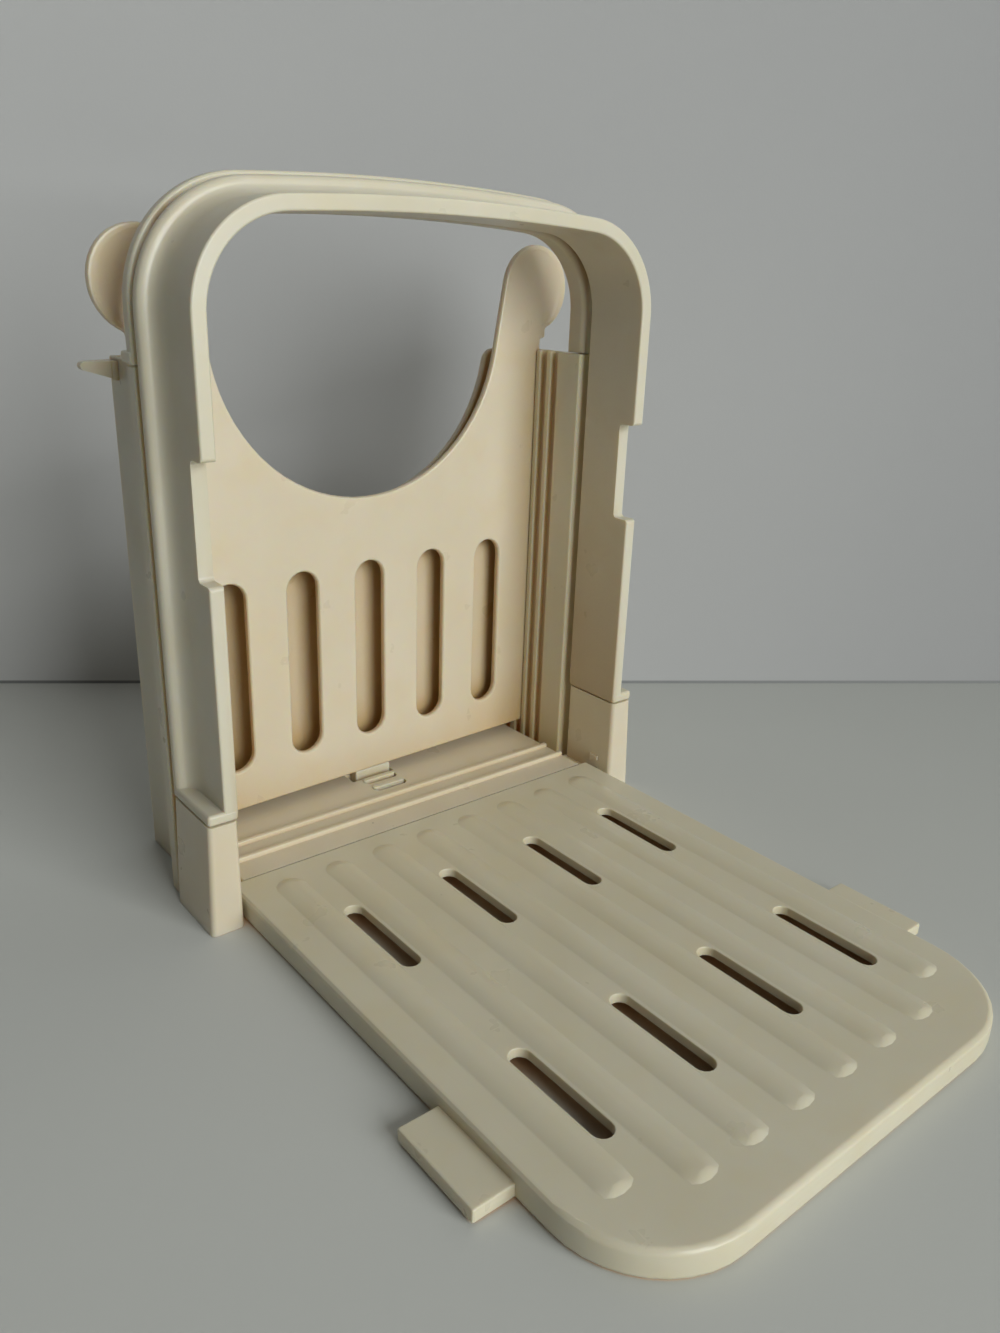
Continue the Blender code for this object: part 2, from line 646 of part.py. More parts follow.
def make_tray():
    tray = prism("tray", [tray_corner_outline(0.0, TRAY_REAR_Y + PIVOT_Y)], 0.0, TRAY_HEIGHT,
                 collection=parts)
    bevel(tray, TRAY_EDGE_RADIUS, 3, 60)
    barrel_start = -90
    barrel_end = -degrees(acos((TRAY_REAR_Y - PIVOT_Y) / BARREL_RADIUS))
    far = TRAY_REAR_Y + PIVOT_Y * 2
    outline = [(TRAY_REAR_Y, TRAY_HEIGHT * 2), (far, TRAY_HEIGHT * 2), (far, -TRAY_HEIGHT),
               (PIVOT_Y, -TRAY_HEIGHT)]
    outline += arc((PIVOT_Y, PIVOT_Z), BARREL_RADIUS, barrel_start, barrel_end, 6)
    cut(tray, prism("barrel_cutter", [outline[::-1]], -HALF_WIDTH, HALF_WIDTH, "X"))

    hollow = prism("tray_hollow", [tray_corner_outline(TRAY_WALL, PIVOT_Y - BARREL_RADIUS)],
                   -TRAY_WALL, TRAY_HEIGHT - TRAY_WALL)
    cut(tray, hollow)

    for index, x in enumerate(slot_centres(TRAY_RIB_COUNT, TRAY_RIB_PITCH)):
        outer = index in (0, TRAY_RIB_COUNT - 1)
        front = OUTER_RIB_FRONT_Y if outer else TRAY_RIB_FRONT_Y
        outline = pill((x - TRAY_RIB_WIDTH / 2, front), (x + TRAY_RIB_WIDTH / 2, TRAY_RIB_REAR_Y), 6)
        rib = prism("tray_rib_%d" % (index + 1), [outline], TRAY_HEIGHT - TRAY_RIB_HEIGHT,
                    TRAY_HEIGHT - TRAY_RIB_SINK)
        crown(rib, TRAY_RIB_WIDTH / 2, TRAY_RIB_HEIGHT + TRAY_RIB_SINK)
        join(tray, rib)
    slot_columns = slot_centres(TRAY_RIB_COUNT // 2, TRAY_RIB_PITCH * 2)
    half = TRAY_SLOT_WIDTH / 2
    for row, (rear, front) in enumerate(TRAY_SLOT_ROWS):
        for column, x in enumerate(slot_columns):
            name = "%d_%d" % (row + 1, column + 1)
            levels = [(-TRAY_WALL, 0.0)] + rim(TRAY_HEIGHT, TRAY_SLOT_EDGE_RADIUS, 2)
            levels.append((TRAY_HEIGHT * 2, TRAY_SLOT_EDGE_RADIUS))
            cut(tray, slot_cutter("tray_slot_" + name, (x - half, front), (x + half, rear), levels, "Z"))

    for side in (-1, 1):
        name = "right" if side > 0 else "left"
        ends = sorted((TRAY_HALF_WIDTH * side - TRAY_WALL / 2 * side, (HALF_WIDTH - TAB_SIDE_STEP) * side))
        join(tray, block(name + "_tab", (ends[0], TAB_FRONT_Y, TAB_BOTTOM),
                         (ends[1], TAB_REAR_Y, TAB_TOP), TAB_EDGE_RADIUS))
        ends = sorted((TRAY_HALF_WIDTH * side - TRAY_WALL * side, (TRAY_HALF_WIDTH + PIN_REACH) * side))
        join(tray, cylinder(name + "_pin", PIN_RADIUS, ends[0], ends[1], "X", (PIVOT_Y, PIVOT_Z)))
    finish(tray, plastic("tray_plastic", IVORY_COOL))
    return tray


def make_front_arch():
    arch = swept_arch("front_arch")
    foot_low = POST_HEIGHT + CLEARANCE
    middle = (POST_DRAFT_FRONT + POST_DEPTH) / 2
    for side in (-1, 1):
        name = "right" if side > 0 else "left"
        ends = sorted((ARCH_HALF_OPENING * side, (HALF_WIDTH - POST_DRAFT_OUTER) * side))
        foot = block(name + "_foot", (ends[0], POST_DRAFT_FRONT, foot_low),
                     (ends[1], POST_DEPTH, foot_low + FOOT_PLATE_HEIGHT), FOOT_EDGE_RADIUS)
        join(arch, foot)
        x = (POST_INNER_X + HALF_WIDTH - POST_DRAFT_OUTER) / 2 * side
        join(arch, block(name + "_tongue",
                         (x - TONGUE_WIDTH / 2, middle - TONGUE_LENGTH / 2, POST_HEIGHT - TONGUE_DEPTH),
                         (x + TONGUE_WIDTH / 2, middle + TONGUE_LENGTH / 2, foot_low + FOOT_PLATE_HEIGHT / 2)))

    radius = NOTCH_CORNER_RADIUS
    clear = ARCH_FRONT_Y - NOTCH_DEPTH_Y
    back = NOTCH_DEPTH_Y
    outline = [(clear, NOTCH_TOP + radius), (clear, NOTCH_BOTTOM - radius)]
    outline += arc((ARCH_FRONT_Y + radius, NOTCH_BOTTOM - radius), radius, 180, 90, 3)
    outline += arc((back - radius, NOTCH_BOTTOM + radius), radius, -90, 0, 3)
    outline += arc((back - radius, NOTCH_TOP - radius), radius, 0, 90, 3)
    outline += arc((ARCH_FRONT_Y + radius, NOTCH_TOP + radius), radius, 270, 180, 3)
    cut(arch, prism("tab_notches", [outline], -HALF_WIDTH, HALF_WIDTH, "X"))
    finish(arch, plastic("front_arch_plastic", IVORY))
    return arch


def make_rear_arch():
    foot = RAIL_HEIGHT + CLEARANCE
    inner = arch_outline(ARCH_HALF_OPENING, ARCH_INNER_TOP, ARCH_CORNER_RADIUS, ARCH_CROWN_RADIUS, foot)
    outer = arch_outline(SHOULDER_X, ARCH_INNER_TOP + SHOULDER_WIDTH + REAR_ARCH_RISE,
                         ARCH_CORNER_RADIUS + SHOULDER_WIDTH, ARCH_CROWN_RADIUS, foot)
    front = COLUMN_FRONT_Y
    rear = front + REAR_ARCH_DEPTH
    arch = prism("rear_arch", [outer + inner[::-1]], front, rear, "Y", parts)
    bevel(arch, REAR_ARCH_EDGE_RADIUS, 2, 50)
    for side in (-1, 1):
        name = "right" if side > 0 else "left"
        ends = sorted(((SHOULDER_X - WALL_THICKNESS) * side, (SHOULDER_X + REAR_FOOT_FLARE) * side))
        join(arch, block(name + "_rear_foot", (ends[0], front + CLEARANCE, foot + CLEARANCE),
                         (ends[1], front + COLUMN_DEPTH, foot + REAR_FOOT_HEIGHT),
                         REAR_FOOT_EDGE_RADIUS))
        middle = front + COLUMN_DEPTH / 2
        x = (LAND_X + SHOULDER_X) / 2 * side
        join(arch, block(name + "_peg", (x - ARCH_PEG_WIDTH / 2, middle - ARCH_PEG_THICKNESS / 2,
                                         RAIL_HEIGHT - ARCH_PEG_DEPTH),
                         (x + ARCH_PEG_WIDTH / 2, middle + ARCH_PEG_THICKNESS / 2, foot + REAR_FOOT_HEIGHT)))
    finish(arch, plastic("rear_arch_plastic", IVORY))
    return arch


def wall_plan():
    """The right wall's plan: front column, three plate grooves and the panel groove."""
    column_x = SHOULDER_X - COLUMN_OUTER_DRAFT
    column_rear = COLUMN_FRONT_Y + COLUMN_DEPTH
    points = [(LAND_X, COLUMN_FRONT_Y), (column_x, COLUMN_FRONT_Y), (column_x, column_rear),
              (WALL_OUTER_X, column_rear), (WALL_OUTER_X, WALL_REAR_Y), (LAND_X, WALL_REAR_Y)]
    grooves = [FIRST_GROOVE_Y + GROOVE_PITCH * index for index in range(GROOVE_COUNT)]
    grooves.append(PANEL_GROOVE_Y)
    for start in reversed(grooves):
        points += [(LAND_X, start + GROOVE_WIDTH), (GROOVE_X, start + GROOVE_WIDTH),
                   (GROOVE_X, start), (LAND_X, start)]
    return points


def make_lip():
    """The finger lip at the rail's rear corner: a tapering tab and the round nub at its root."""
    root = (GROOVE_X + WALL_OUTER_X) / 2
    tip = WALL_OUTER_X + LIP_REACH
    top = RAIL_HEIGHT - LIP_STEP
    tip_top = top - LIP_DROP
    radius = LIP_TIP / 2
    outline = [(root, top - LIP_ROOT), (WALL_OUTER_X, top - LIP_ROOT)]
    outline += arc((tip - radius, tip_top - radius), radius, -80, 90, 5)
    outline += [(WALL_OUTER_X, top), (root, top)]
    tab = prism("right_lip", [outline], WALL_REAR_Y - LIP_LENGTH, WALL_REAR_Y, "Y")
    front = WALL_REAR_Y - LIP_LENGTH
    corner = [(WALL_OUTER_X + LIP_NUB_RADIUS, front - CLEARANCE), (tip + CLEARANCE, front - CLEARANCE),
              (tip + CLEARANCE, WALL_REAR_Y - LIP_TIP_LENGTH), (tip, WALL_REAR_Y - LIP_TIP_LENGTH)]
    cut(tab, prism("right_lip_slant", [corner], top - LIP_ROOT - CLEARANCE, RAIL_HEIGHT))
    nub = cylinder("right_lip_nub", LIP_NUB_RADIUS, top - LIP_ROOT, top, "Z",
                   (WALL_OUTER_X + CLEARANCE, front + LIP_NUB_RADIUS / 2), 16)
    return tab, nub


def make_walls():
    wall = prism("right_side_wall", [wall_plan()], 0.0, RAIL_HEIGHT, collection=parts)
    bevel(wall, WALL_EDGE_RADIUS, 1, 60)
    for lip_piece in make_lip():
        join(wall, lip_piece)
    middle = COLUMN_FRONT_Y + COLUMN_DEPTH / 2
    x = (LAND_X + SHOULDER_X) / 2
    half = ARCH_PEG_THICKNESS / 2 + CLEARANCE
    cut(wall, block("right_peg_socket", (x - ARCH_PEG_WIDTH / 2 - CLEARANCE, middle - half,
                                         RAIL_HEIGHT - ARCH_PEG_DEPTH - CLEARANCE),
                    (x + ARCH_PEG_WIDTH / 2 + CLEARANCE, middle + half, RAIL_HEIGHT + CLEARANCE)))
    for number, y in enumerate(WALL_TENON_CENTRES):
        join(wall, block("right_wall_tenon_%d" % (number + 1),
                         (LAND_X - WALL_TENON_REACH, y - WALL_TENON_LENGTH / 2, WALL_TENON_Z),
                         (LAND_X + WALL_TENON_ROOT, y + WALL_TENON_LENGTH / 2,
                          WALL_TENON_Z + WALL_TENON_HEIGHT - 2 * CLEARANCE)))
    left = mirrored(wall, "left_side_wall", parts)
    finish(wall, plastic("right_wall_plastic", IVORY))
    finish(left, plastic("left_wall_plastic", IVORY))
    return wall, left


def make_back_panel():
    """A board that stands in the rear grooves, with a round cut-out above."""
    half = GROOVE_X - CLEARANCE
    bottom = FLOOR_HEIGHT + CLEARANCE
    top = RAIL_HEIGHT
    radius = PANEL_CORNER_RADIUS
    reach = PANEL_CUT_RADIUS + radius
    corner_z = top - radius
    corner_x = sqrt(reach ** 2 - (corner_z - PANEL_CUT_Z) ** 2)
    meet = degrees(atan2(corner_z - PANEL_CUT_Z, corner_x))
    outline = [(-half, bottom), (half, bottom), (half, top)]
    outline += arc((corner_x, corner_z), radius, 90, 180 + meet, 5)
    outline += arc((0, PANEL_CUT_Z), PANEL_CUT_RADIUS, meet, -180 - meet, 28)[1:-1]
    outline += arc((-corner_x, corner_z), radius, -meet, 90, 5)
    outline.append((-half, top))
    front = PANEL_GROOVE_Y + SHEET_PLAY
    panel = prism("back_panel", [outline], front, front + SHEET_THICKNESS, "Y", parts)
    bevel(panel, PANEL_EDGE_RADIUS, 1, 60)
    for side in (-1, 1):
        name = "right" if side > 0 else "left"
        x = PANEL_TENON_SPACING / 2 * side
        join(panel, block(name + "_panel_tenon",
                          (x - PANEL_TENON_LENGTH / 2, front, bottom - PANEL_TENON_DEPTH),
                          (x + PANEL_TENON_LENGTH / 2, front + SHEET_THICKNESS,
                           bottom + PANEL_TENON_DEPTH)))
    finish(panel, plastic("back_panel_plastic", IVORY_WARM))
    return panel


def plate_outline():
    """The stop plate's outline in its own plane: arms, round ears and a round cut-out."""
    half = PLATE_HALF_WIDTH
    spread = sqrt(EAR_X ** 2 + (EAR_Z - PLATE_CUT_Z) ** 2)
    normal = atan2(EAR_Z - PLATE_CUT_Z, EAR_X) - acos((PLATE_CUT_RADIUS + EAR_RADIUS) / spread)
    lean = degrees(normal)
    ear_foot_x = half + STUB_REACH
    ear_foot = -degrees(acos((ear_foot_x - EAR_X) / EAR_RADIUS))
    ear_foot_z = EAR_Z + EAR_RADIUS * sin(radians(ear_foot))
    stub_low = ear_foot_z - STUB_HEIGHT
    right = [(half, PLATE_BOTTOM), (half, stub_low), (ear_foot_x, stub_low)]
    right += arc((EAR_X, EAR_Z), EAR_RADIUS, ear_foot, 180 + lean, 26)
    cut_out = arc((0, PLATE_CUT_Z), PLATE_CUT_RADIUS, lean, -180 - lean, 32)
    left = [(-x, z) for x, z in reversed(right)]
    return right + cut_out + left


def ear_dish(name, side):
    """A cutter for the shallow thumb dish in an ear's outer half, in the plate's own plane."""
    lean = radians(EAR_DISH_LEAN)
    along = Vector((-sin(lean), 0, cos(lean)))
    out = Vector((cos(lean), 0, sin(lean)))
    centre = Vector((EAR_X, 0, EAR_Z)) - out * EAR_DISH_OFFSET
    reach = EAR_RADIUS - EAR_RIM
    face = -SHEET_THICKNESS / 2
    shape = bmesh.new()
    layers = []
    for bowl in (True, False):
        layer = []
        for row in range(EAR_DISH_ROWS + 1):
            turn = radians(EAR_DISH_SPAN[0]
                           + (EAR_DISH_SPAN[1] - EAR_DISH_SPAN[0]) * row / EAR_DISH_ROWS)
            inner = EAR_DISH_BULGE * sin(turn) ** 2
            outer = EAR_DISH_OFFSET + reach * sin(turn)
            line = []
            for column in range(EAR_DISH_COLUMNS + 1):
                share = column / EAR_DISH_COLUMNS
                place = centre - along * reach * cos(turn) + out * (inner + (outer - inner) * share)
                depth = EAR_DISH_DEPTH * sin(turn) * 4 * share * (1 - share) - EAR_DISH_LIFT
                place.y = face + depth if bowl else face - EAR_DISH_DEPTH
                place.x *= side
                line.append(shape.verts.new(place))
            layer.append(line)
        layers.append(layer)
    bowl, lid = layers
    for row in range(EAR_DISH_ROWS):
        for column in range(EAR_DISH_COLUMNS):
            for layer in layers:
                shape.faces.new((layer[row][column], layer[row][column + 1],
                                 layer[row + 1][column + 1], layer[row + 1][column]))
        for column in (0, EAR_DISH_COLUMNS):
            shape.faces.new((bowl[row][column], bowl[row + 1][column],
                             lid[row + 1][column], lid[row][column]))
    for row in (0, EAR_DISH_ROWS):
        for column in range(EAR_DISH_COLUMNS):
            shape.faces.new((bowl[row][column], bowl[row][column + 1],
                             lid[row][column + 1], lid[row][column]))
    return helper_mesh(name, shape)


def make_stop_plate():
    """The thickness stop; it slides up out of the side walls' grooves."""
    half = SHEET_THICKNESS / 2
    plate = prism("stop_plate", [plate_outline()], -half, half, "Y", parts)
    bevel(plate, PLATE_EDGE_RADIUS, 2, 50)
    grooves = [FIRST_GROOVE_Y + GROOVE_PITCH * (number - 1) + GROOVE_WIDTH / 2
               for number in (PLATE_LEFT_GROOVE, PLATE_RIGHT_GROOVE)]
    place = (0, sum(grooves) / 2, 0)
    turn = (0, 0, atan2(grooves[1] - grooves[0], 2 * PLATE_HALF_WIDTH))
    upper = rim(half, PLATE_EDGE_RADIUS)
    levels = [(-level, growth) for level, growth in reversed(upper)] + upper
    reach = PLATE_SLOT_WIDTH / 2
    cutters = [ear_dish("right_ear_dish", 1), ear_dish("left_ear_dish", -1)]
    for number, x in enumerate(slot_centres(PLATE_SLOT_COUNT, PLATE_SLOT_PITCH)):
        cutters.append(slot_cutter("plate_slot_%d" % (number + 1), (x - reach, PLATE_SLOT_BOTTOM),
                                   (x + reach, PLATE_SLOT_TOP), levels, "Y", 10))
    for cutter in cutters:
        cut(plate, cutter)
        cutter.location = place
        cutter.rotation_euler = turn
    plate.location = place
    plate.rotation_euler = turn
    finish(plate, plastic("stop_plate_plastic", IVORY_WARM), 25)
    return plate


def make_latch():
    """The slide under the floor: two grip ribs and a tab that stand in their windows."""
    top = FLOOR_HEIGHT - FLOOR_WALL - CLEARANCE
    low = top - LATCH_THICKNESS
    latch = block("latch_slider", (LATCH_CENTRE_X - LATCH_WIDTH / 2, LATCH_FRONT_Y, low),
                  (LATCH_CENTRE_X + LATCH_WIDTH / 2, LATCH_FRONT_Y + LATCH_LENGTH - CLEARANCE, top),
                  collection=parts)
    middle = (low + top) / 2
    for number, y in enumerate(LATCH_RIB_Y):
        rib = prism("grip_rib_%d" % (number + 1),
                    [pill((LATCH_CENTRE_X - LATCH_RIB_LENGTH / 2, y),
                          (LATCH_CENTRE_X + LATCH_RIB_LENGTH / 2, y + LATCH_RIB_DEPTH), 6)],
                    middle, FLOOR_HEIGHT + LATCH_RIB_RISE)
        join(latch, rib)
    tab = block("latch_tab", (LATCH_CENTRE_X - LATCH_TAB_WIDTH / 2, LATCH_TAB_Y, middle),
                (LATCH_CENTRE_X + LATCH_TAB_WIDTH / 2, LATCH_TAB_Y + LATCH_TAB_DEPTH,
                 PLATE_BOTTOM - CLEARANCE), LATCH_TAB_EDGE_RADIUS)
    join(latch, tab)
    finish(latch, plastic("latch_plastic", IVORY))
    return latch


clear_scene()
parts = new_collection("bread_slicing_guide")
helpers = new_collection("cutters_and_joined_solids")
guide = bpy.data.objects.new("guide", None)
guide.location = (0, SHIFT_Y, 0)
parts.objects.link(guide)
make_base()
make_tray()
make_front_arch()
make_rear_arch()
make_walls()
make_back_panel()
make_stop_plate()
make_latch()
bpy.context.view_layer.update()
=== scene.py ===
"""Bread slicing guide: finishes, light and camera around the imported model, in metres, +Z up."""
import json
from math import atan2, cos, degrees, radians, sin, sqrt

import bmesh
import bpy
from mathutils import Matrix, Vector

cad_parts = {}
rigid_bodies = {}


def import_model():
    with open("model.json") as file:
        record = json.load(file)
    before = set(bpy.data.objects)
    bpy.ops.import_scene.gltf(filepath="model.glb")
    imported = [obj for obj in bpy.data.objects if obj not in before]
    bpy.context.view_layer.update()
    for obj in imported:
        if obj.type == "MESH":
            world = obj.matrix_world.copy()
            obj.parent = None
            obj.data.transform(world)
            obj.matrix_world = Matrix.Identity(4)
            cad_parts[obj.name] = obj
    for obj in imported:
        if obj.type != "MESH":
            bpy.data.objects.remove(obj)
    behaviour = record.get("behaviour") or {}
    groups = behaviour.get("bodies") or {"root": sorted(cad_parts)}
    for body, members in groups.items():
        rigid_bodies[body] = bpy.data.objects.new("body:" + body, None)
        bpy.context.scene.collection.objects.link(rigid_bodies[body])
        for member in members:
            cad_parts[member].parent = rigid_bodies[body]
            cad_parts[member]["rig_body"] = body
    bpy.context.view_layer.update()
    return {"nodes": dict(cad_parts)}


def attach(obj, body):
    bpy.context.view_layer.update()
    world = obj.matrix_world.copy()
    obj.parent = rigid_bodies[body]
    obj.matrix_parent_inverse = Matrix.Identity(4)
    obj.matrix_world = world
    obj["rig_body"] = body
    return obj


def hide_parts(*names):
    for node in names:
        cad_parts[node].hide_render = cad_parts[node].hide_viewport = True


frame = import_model()

# Camera, fitted to the photograph
CAMERA_PLACE = (-0.16427, -0.17487, 0.16250)
CAMERA_TURN = (69.281, -1.897, -38.942)
CAMERA_LENS = 28.18
SENSOR_LONG_SIDE = 36.0
NEAR_CLIP = 0.01

# Room: the back wall meets the table along a line just behind the guide
WALL_FOOT_LEFT = (-0.07065, 0.25503)
WALL_FOOT_RIGHT = (0.28083, 0.01644)
WALL_REACH = 1.6
TABLE_REACH = 2.0
TABLE_DROP = 0.0001
TABLE_GREY = (0.66, 0.67, 0.63, 1.0)
# darker table grey towards the right: painted shade
TABLE_SHADED_GREY_RIGHT = (0.50, 0.51, 0.475, 1.0)
# painted warm shade on the table close under the guide
TABLE_PAINTED_UNDER_SHADE = (0.9, 0.55, 0.28, 1.0)
WALL_SHADE_RISE = 0.12
# a thin band of painted shade along the wall's foot, where it meets the table
SEAM_HEIGHT = 0.0009
SEAM_PAINTED_SHADE = (0.22, 0.225, 0.22, 1.0)
WALL_GREY = (0.60, 0.60, 0.585, 1.0)
# darker wall grey towards the right: painted shade
WALL_SHADED_GREY_RIGHT = (0.30, 0.30, 0.295, 1.0)
PAINT_CLOUD = (0.2, 0.2, 0.2, 1.0)
PAINT_CLOUD_PER_METRE = 7.0
PAINT_CLOUD_SHARE = 0.05
PAINT_ROUGHNESS = 0.7
PAINT_GRAIN = {"strength": 0.2, "depth": 0.0001, "per_metre": 900.0}
UNDER_REACH = 0.02
UNDER_SAMPLES = 8

# Light: one broad window from the front right, and the room's own soft light around it
WINDOW_PLACE = (0.11, -1.40, 0.57)
WINDOW_SIZE = (1.0, 0.9)
WINDOW_POWER = 21.0
WINDOW_COLOUR = (0.95, 0.98, 0.985)
WINDOW_AIM = (0.0, 0.0, 0.08)
CEILING_PLACE = (0.0, -0.45, 1.2)
CEILING_SIZE = (0.8, 0.8)
CEILING_POWER = 1.3
CEILING_COLOUR = (1.0, 0.99, 0.96)
CEILING_AIM = (0.0, 0.0, 0.0)
ROOM_LIGHT = 0.03
ROOM_COLOUR = (1.0, 1.0, 1.0, 1.0)

# Plastic
IVORY = (0.66, 0.617, 0.487)
WARM_IVORY = (0.695, 0.618, 0.475)
YELLOW_IVORY = (0.66, 0.612, 0.462)
COLOURS = {"stop_plate": WARM_IVORY, "back_panel": WARM_IVORY, "base": WARM_IVORY,
           "tray": YELLOW_IVORY}
DEEP_SHADE = (0.955, 0.945, 0.91)
AGED_SHADE = (0.97, 0.93, 0.83)
EDGE_TONE = (0.76, 0.71, 0.58)
SPECK_TONE = (0.16, 0.12, 0.075)

# Painted warm shade where a surface is closed in, standing in for light bounced inside: how far it
# looks around, between which shares of open air the tint fades, the tint, whether other pieces are
# left out, and whether it keeps to the arches' inner faces, which end within these distances from
# the middle and from the table
INNER_FACE_X = (0.0662, 0.0680)
INNER_FACE_Z = (0.1735, 0.1775)
CREVICE_PAINTED_SHADE = {"reach": 0.012, "open": (0.15, 0.75), "tint": (0.94, 0.79, 0.56),
           "alone": True, "inner": False}
SLOTTED_PAINTED_SHADE = {"reach": 0.03, "open": (0.3, 0.72), "tint": (0.80, 0.63, 0.38),
           "alone": False, "inner": False}
SHELTERED_PAINTED_SHADE = {"reach": 0.03, "open": (0.2, 0.8), "tint": (1.0, 0.87, 0.64),
             "alone": False, "inner": False}
INSIDE_PAINTED_SHADE = {"reach": 0.09, "open": (0.25, 0.95), "tint": (0.66, 0.50, 0.36),
          "alone": False, "inner": True}
PAINTED_WARM_SHADE = {"front_arch": INSIDE_PAINTED_SHADE, "rear_arch": INSIDE_PAINTED_SHADE, "stop_plate": SLOTTED_PAINTED_SHADE, "back_panel": SLOTTED_PAINTED_SHADE,
          "left_side_wall": SHELTERED_PAINTED_SHADE, "right_side_wall": SHELTERED_PAINTED_SHADE}
OPEN_AIR_SAMPLES = 6

# Surface of the plastic
FLOW_PER_METRE = 26.0
FLOW_STRETCH = (1.0, 1.0, 0.45)
CLOUD_PER_METRE = 70.0
AGED_SHARE = 0.5
EDGE_WEAR_REACH = 0.0006
EDGE_WEAR_SAMPLES = 2
EDGE_WEAR_SHARE = 0.3
EDGE_WEAR_SHINE = 0.05
SPECKS_PER_METRE = 52.0
SPECK_RADIUS = 0.00035
SPECK_CORE = 0.6
SPECKED_CELLS = 0.16
SPECK_SHARE = 0.75
SCRATCH_STRETCHES = ((24.0, 900.0, 700.0), (800.0, 30.0, 26.0))
SCRATCH_ROUGHNESS = 0.08
SATIN_PER_METRE = 90.0
SATIN_LOW = 0.27
SATIN_HIGH = 0.36
PEEL = {"strength": 0.35, "depth": 0.00004, "per_metre": 260.0}
GRAIN = {"strength": 0.4, "depth": 0.000012, "per_metre": 1700.0}
SCRATCH_RELIEF = {"strength": 0.3, "depth": 0.00001}
REFRACTION = 1.5
TRANSLUCENCY = {"tray": 0.3, "base": 0.4, "front_arch": 0.4}
PLAIN_TRANSLUCENCY = 0.7
TRANSLUCENT_REACH = (3.4, 2.2, 0.9)
TRANSLUCENT_SCALE = 0.001

# Edges of the mouldings
SOFT_EDGE = 0.00022
SHARP_ANGLE = radians(30)
FLAT_ANGLE = radians(0.4)
WELD_DISTANCE = 0.000004

# Tray ribs
TRAY_TOP = 0.0072
RIB_START = 0.00002
RIB_GAIN = 1.6
RIB_TIP_Y = -0.08875
OUTER_RIB_TIP_Y = -0.08125
OUTER_RIB_X = 0.047
RIB_END_LENGTH = 0.0047
RIB_END_SHARE = 0.6

# Both arches
ARCH_HALF_OPENING = 0.066
ARCH_INNER_TOP = 0.1748
ARCH_CORNER_RADIUS = 0.0217
ARCH_CROWN_RADIUS = 0.655
ARCH_WIDTH = 0.0081
CORNER_STEPS = 20
CROWN_STEPS = 16
EDGE_STEPS = 4

# Front arch. Blocks and tongues give their sides on the right leg, and the left leg mirrors them
FRONT_ARCH_FRONT_Y = 0.04445
FRONT_ARCH_DEPTH = 0.0213
FRONT_ARCH_FOOT = 0.0328
FLANGE_WIDTH = 0.00375
FLANGE_ROUND = 0.0006
SHOULDER_DEPTH = 0.0032
SHOULDER_FRONT_ROUND = 0.0018
COVE_LENGTH = 0.006
LONG_COVE_STEPS = 12
FOOT_PLATE_X = (0.0660, 0.0742)
FOOT_PLATE_Y = (0.04435, 0.06575)
FOOT_PLATE_Z = (0.0313, 0.0343)
FOOT_PLATE_ROUND = 0.0009
TONGUE_X = (0.06815, 0.07235)
TONGUE_Y = (0.04905, 0.06105)
TONGUE_Z = (0.0230, 0.0328)
NOTCH_Z = (0.09235, 0.12085)
NOTCH_BACK_Y = 0.0503
NOTCH_ROUND = 0.0012
NOTCH_STEPS = 5
NOTCH_REACH = 0.078

# Rear arch
REAR_ARCH_FOOT = 0.1399
REAR_ARCH_FRONT_Y = 0.06845
REAR_ARCH_DEPTH = 0.007
REAR_ARCH_RISE = 0.0011
REAR_SHOULDER_DEPTH = 0.0034
SHOULDER_ROUND = 0.0007
INNER_ROUND = 0.0021
INNER_STEPS = 6
WEB_WIDTH = 0.004
COVE_ROUND = 0.0015
COVE_STEPS = 5
REAR_FOOT_X = (0.0690, 0.0744)
REAR_FOOT_Y = (0.0690, 0.0748)
REAR_FOOT_Z = (0.1402, 0.1427)
REAR_FOOT_ROUND = 0.0005
REAR_PEG_X = (0.06675, 0.07235)
REAR_PEG_Y = (0.06965, 0.07145)
REAR_PEG_Z = (0.1316, 0.1425)


def nodes_of(material):
    """The material's node tree and its Principled shader."""
    material.use_nodes = True
    tree = material.node_tree
    return tree, tree.nodes["Principled BSDF"]


def add(tree, kind, inputs, **settings):
    """A new node. An input is a plain value or another node's output."""
    node = tree.nodes.new(kind)
    for name, value in settings.items():
        setattr(node, name, value)
    for key, value in inputs.items():
        if isinstance(value, bpy.types.NodeSocket):
            tree.links.new(value, node.inputs[key])
        else:
            node.inputs[key].default_value = value
    return node


def noise(tree, place, scale, detail=2.0, stretch=None):
    """Noise over the piece, drawn out along one direction where stretch is set."""
    if stretch:
        place = add(tree, "ShaderNodeMapping", {"Vector": place, "Scale": stretch}).outputs[0]
    texture = add(tree, "ShaderNodeTexNoise", {"Vector": place, "Scale": scale, "Detail": detail})
    return texture.outputs["Fac"]


def ranged(tree, value, low, high, to_low, to_high):
    """A value brought from one range to another, held at the ends."""
    return add(tree, "ShaderNodeMapRange", {"Value": value, "From Min": low, "From Max": high,
                                            "To Min": to_low, "To Max": to_high}).outputs[0]


def maths(tree, operation, first, second):
    """The result of one sum on two values."""
    return add(tree, "ShaderNodeMath", {0: first, 1: second}, operation=operation).outputs[0]


def mixed(tree, share, first, second, blend="MIX"):
    """Two colours mixed by a share."""
    return add(tree, "ShaderNodeMix", {0: share, 6: first, 7: second},
               data_type="RGBA", blend_type=blend).outputs[2]


